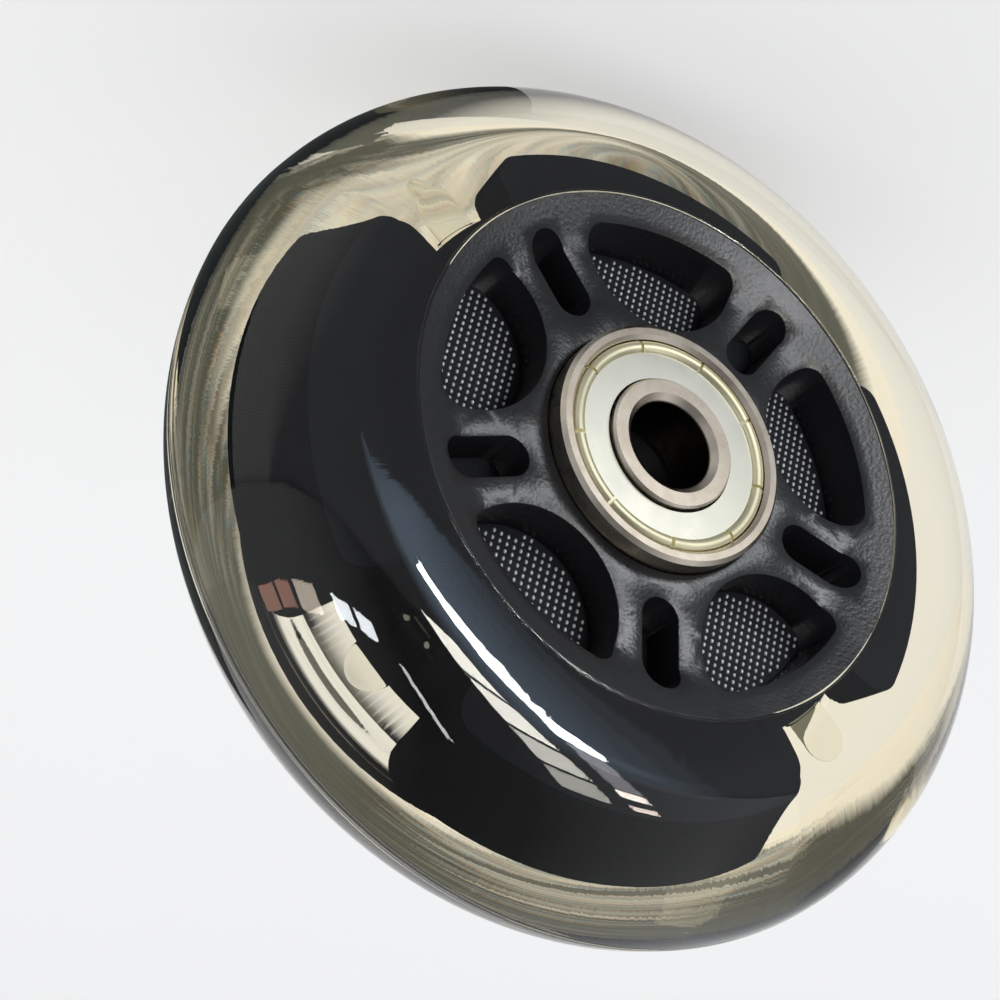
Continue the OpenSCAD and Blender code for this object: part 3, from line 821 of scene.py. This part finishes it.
def add_tyre():
    drum = drum_outline()
    outer = tyre_outline()
    wall_r = COLLAR_R - CAST_OVERLAP
    shelf_h = DRUM_HALF_W - CAST_OVERLAP
    front_edge_h = outer[0][1] - CAST_OVERLAP
    rear_edge_h = outer[-1][1] + CAST_OVERLAP
    seat = LAMP_FOOT_R + SEAT_CLEARANCE
    rings = [[polar(r, a, h) for _, a in drum] for r, h, _ in outer]
    for h in (rear_edge_h, -shelf_h):
        rings.append([polar(COLLAR_R + SHRINK_GAP, a, h) for _, a in drum])
    for h in (-shelf_h, -seat - SEAT_WALL):
        rings.append([polar(r, a, h) for r, a in drum])
    for h in (-seat, seat):
        rings.append([polar(seat_radius(r, a, seat), a, h) for r, a in drum])
    for h in (seat + SEAT_WALL, shelf_h):
        rings.append([polar(r, a, h) for r, a in drum])
    for h in (shelf_h, front_edge_h):
        rings.append([polar(wall_r, a, h) for _, a in drum])
    columns = len(drum)
    faces = []
    for i in range(len(rings)):
        here = i * columns
        there = (i + 1) % len(rings) * columns
        for k in range(columns):
            n = (k + 1) % columns
            faces.append((here + k, here + n, there + n, there + k))
    points = [p for ring in rings for p in ring]
    tyre = make_piece("tyre_casting", points, faces, clear_urethane(), "wheel")
    smooth(tyre, 20)
    # The outer skin takes its normals from the outline; inside, they are left to the faces
    normals = [(0, 0, 0)] * len(points)
    for i, (_, _, normal) in enumerate(outer):
        for k, (_, a) in enumerate(drum):
            normals[i * columns + k] = tuple(polar(normal.x, a, normal.y))
    tyre.data.normals_split_custom_set_from_vertices(normals)
    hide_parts("tyre")


# The hub


def is_rim(edge):
    """True for an outer edge that is rounded."""
    shown = all(abs(v.co.y) > DRUM_HALF_W + RIM_MARGIN for v in edge.verts)
    return shown and edge.is_convex and edge.calc_face_angle(0) > EDGE_ANGLE


def hub_finish(face):
    """Which of the hub's finishes a face has."""
    middle = face.calc_center_median()
    level = abs(face.normal.y) > LEVEL_NORMAL
    if level and abs(abs(middle.y) - WINDOW_FLOOR_H) < NEAR:
        return WINDOW
    outside = math.hypot(middle.x, middle.z) > COLLAR_R - NEAR
    if outside and not level or abs(middle.y) < DRUM_HALF_W:
        return COVERED
    return BARE


def add_moulding(node, finishes):
    """A copy of a hub half with its outer edges rounded, as they leave the mould."""
    name = node + "_moulding"
    mesh = bpy.data.meshes.new(name)
    work = bmesh.new()
    work.from_mesh(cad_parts[node].data)
    bmesh.ops.remove_doubles(work, verts=work.verts, dist=WELD)
    bmesh.ops.dissolve_limit(work, angle_limit=FLAT_ANGLE, verts=work.verts, edges=work.edges)
    bmesh.ops.remove_doubles(work, verts=work.verts, dist=MERGE)
    bmesh.ops.dissolve_degenerate(work, dist=SLIVER, edges=work.edges)
    rims = [edge for edge in work.edges if is_rim(edge)]
    bmesh.ops.bevel(
        work, geom=rims, offset=EDGE_ROUND, segments=2, profile=0.5, affect="EDGES",
        clamp_overlap=False)
    bmesh.ops.triangulate(work, faces=[f for f in work.faces if len(f.verts) > 4])
    for face in work.faces:
        face.material_index = hub_finish(face)
    work.to_mesh(mesh)
    work.free()
    for finish in finishes:
        mesh.materials.append(finish)
    piece = add_object(name, mesh)
    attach(piece, "wheel")
    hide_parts(node)
    smooth(piece, 24)


def in_window(x, z):
    """True where a dot fits on the floor of a window that lies on the X axis."""
    inside_rim = math.hypot(x, z) < WINDOW_OUT_R - DOT_MARGIN
    return inside_rim and math.hypot(x - WINDOW_AT_R, z) < WINDOW_R - DOT_MARGIN


def dot_places():
    """A square grid over the hub's face, kept where a window's floor shows."""
    reach = math.ceil(WINDOW_OUT_R / DOT_PITCH)
    for i in range(-reach, reach + 1):
        for k in range(-reach, reach + 1):
            spot = Vector((i * DOT_PITCH, k * DOT_PITCH))
            spot.rotate(Matrix.Rotation(DOT_TURN, 2))
            for w in range(WINDOW_COUNT):
                turn = WINDOW_PHASE + 2 * math.pi * w / WINDOW_COUNT
                local = spot.copy()
                local.rotate(Matrix.Rotation(-turn, 2))
                if in_window(local.x, local.y):
                    yield spot


def add_dots(name, side, material):
    """Small raised dots on the window floors of one hub half, each a closed dome."""
    points = []
    faces = []
    long_way = Vector((math.cos(DOT_TURN + math.pi / 2), math.sin(DOT_TURN + math.pi / 2)))
    short_way = Vector((math.cos(DOT_TURN), math.sin(DOT_TURN)))
    for spot in dot_places():
        first = len(points)
        for share, rise in DOT_LEVELS:
            for s in range(DOT_SIDES):
                a = 2 * math.pi * s / DOT_SIDES
                reach = math.cos(a) * DOT_LENGTH * long_way + math.sin(a) * DOT_WIDTH * short_way
                flat = spot + share * reach
                points.append(Vector((flat.x, -side * (WINDOW_FLOOR_H + rise * DOT_HEIGHT), flat.y)))
        points.append(Vector((spot.x, -side * (WINDOW_FLOOR_H + DOT_HEIGHT), spot.y)))
        top = len(points) - 1
        for level in range(len(DOT_LEVELS) - 1):
            for s in range(DOT_SIDES):
                a = first + level * DOT_SIDES + s
                b = first + level * DOT_SIDES + (s + 1) % DOT_SIDES
                faces.append((a, b, b + DOT_SIDES, a + DOT_SIDES))
        last = first + (len(DOT_LEVELS) - 1) * DOT_SIDES
        for s in range(DOT_SIDES):
            faces.append((last + s, last + (s + 1) % DOT_SIDES, top))
        faces.append(tuple(range(first, first + DOT_SIDES)))
    piece = make_piece(name, points, faces, material, "wheel")
    smooth(piece, 60)


def dress_nodes(nylon):
    """Gives every node of the frame its finished material, apart from the tyre, which is replaced."""
    ring = turned_steel("ring_steel", (0.67, 0.61, 0.53), (0.52, 0.44, 0.36), 0.24, 0.36)
    tinned = turned_steel("tinned_steel", (0.72, 0.72, 0.70), (0.55, 0.54, 0.52), 0.25, 0.4)
    zinc = zinc_plate()
    balls = polished_steel()
    plain = natural_nylon()
    copper = copper_wire()
    lens = clear_epoxy()
    finishes = {
        "hub_front": nylon, "hub_rear": nylon,
        "axle_spacer": dark_nylon(), "ring_magnet": sintered_ferrite(),
        "pole_plate": tinned, "pole_cup": tinned, "lamp_leads": tinned,
        "coil_bobbin": plain, "coil_winding": copper, "coil_leads": copper,
        "circuit_board": green_board()}
    for end in ("front", "rear"):
        finishes[end + "_outer_ring"] = ring
        finishes[end + "_inner_ring"] = ring
        finishes[end + "_balls"] = balls
        finishes[end + "_cage"] = plain
        finishes[end + "_outer_shield"] = zinc
        finishes[end + "_inner_shield"] = zinc
    for n in range(1, LOBE_COUNT + 1):
        finishes[f"lamp_{n}"] = lens
    for name, finish in finishes.items():
        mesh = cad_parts[name].data
        mesh.materials.clear()
        mesh.materials.append(finish)


bpy.context.scene.view_settings.view_transform = "Standard"
add_camera()
add_floor()
add_cards()
add_world()
bare_nylon = black_nylon()
dress_nodes(bare_nylon)
add_tyre()
hub_finishes = (bare_nylon, covered_nylon(), window_nylon())
add_moulding("hub_front", hub_finishes)
add_moulding("hub_rear", hub_finishes)
# Tips of the dots, with a painted highlight
tips = painted_glint_nylon()
add_dots("front_window_dots", 1, tips)
add_dots("rear_window_dots", -1, tips)
add_lights()
